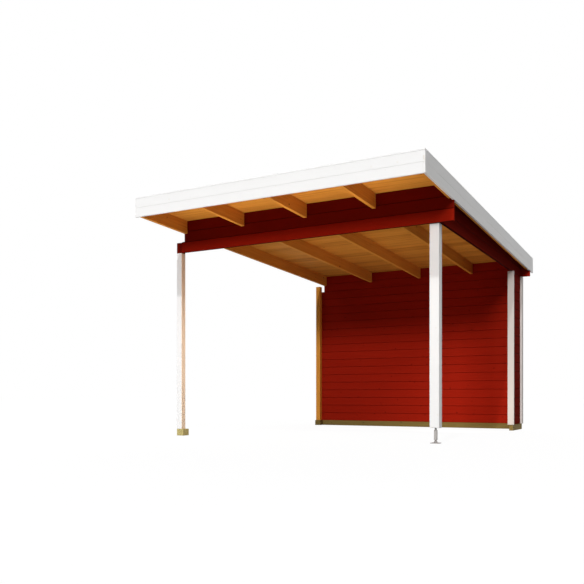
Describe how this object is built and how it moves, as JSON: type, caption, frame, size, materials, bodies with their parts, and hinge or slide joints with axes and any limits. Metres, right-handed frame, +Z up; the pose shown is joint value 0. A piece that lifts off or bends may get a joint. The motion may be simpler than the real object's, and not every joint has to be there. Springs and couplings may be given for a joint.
{
  "type": "carport",
  "caption": "Open timber carport with a lean-to board roof on posts, a red plank rear wall with a short return, and white fascia boards.",
  "frame": {"origin": "on the ground under the middle of the roof's outline", "axes": "+X to the carport's right seen from its open front, +Y to the rear wall, +Z up"},
  "size_m": [3.2716, 4.653, 2.538],
  "materials": {
    "red_stain": "semi-opaque stain",
    "white_paint": "satin paint",
    "bare_timber": "planed, clear",
    "treated_timber": "pressure treated, sawn",
    "zinc_steel": "zinc plated",
    "roofing_felt": "mineral surfaced"
  },
  "bodies": {
    "root": {"front_left_block": "treated_timber", "rear_left_block": "treated_timber", "rear_sill": "treated_timber", "return_sill": "treated_timber", "front_left_post": "white_paint", "front_right_post": "white_paint", "rear_left_post": "bare_timber", "front_left_post_head": "red_stain", "post_foot_plate": "zinc_steel", "post_foot_rod": "zinc_steel", "post_foot_nut": "zinc_steel", "post_foot_sleeve": "zinc_steel", "rear_wall": "red_stain", "return_wall": "red_stain", "return_front_trim": "white_paint", "corner_board_side": "white_paint", "corner_board_rear": "white_paint", "front_beam_lower": "red_stain", "front_beam_middle": "red_stain", "front_beam_upper": "red_stain", "side_beam_lower": "red_stain", "side_beam_middle": "red_stain", "side_beam_upper": "red_stain", "rear_beam_lower": "red_stain", "rear_beam_upper": "red_stain", "roof_deck": "bare_timber", "roof_felt": "roofing_felt", "fascia_front_lower": "white_paint", "fascia_front_upper": "white_paint", "fascia_right_lower": "white_paint", "fascia_right_upper": "white_paint", "fascia_rear": "white_paint", "cap_front": "white_paint", "cap_right": "white_paint", "rafter_1": "bare_timber", "rafter_2": "bare_timber", "rafter_3": "bare_timber", "rafter_4": "bare_timber", "rafter_5": "bare_timber"}
  },
  "joints": []
}
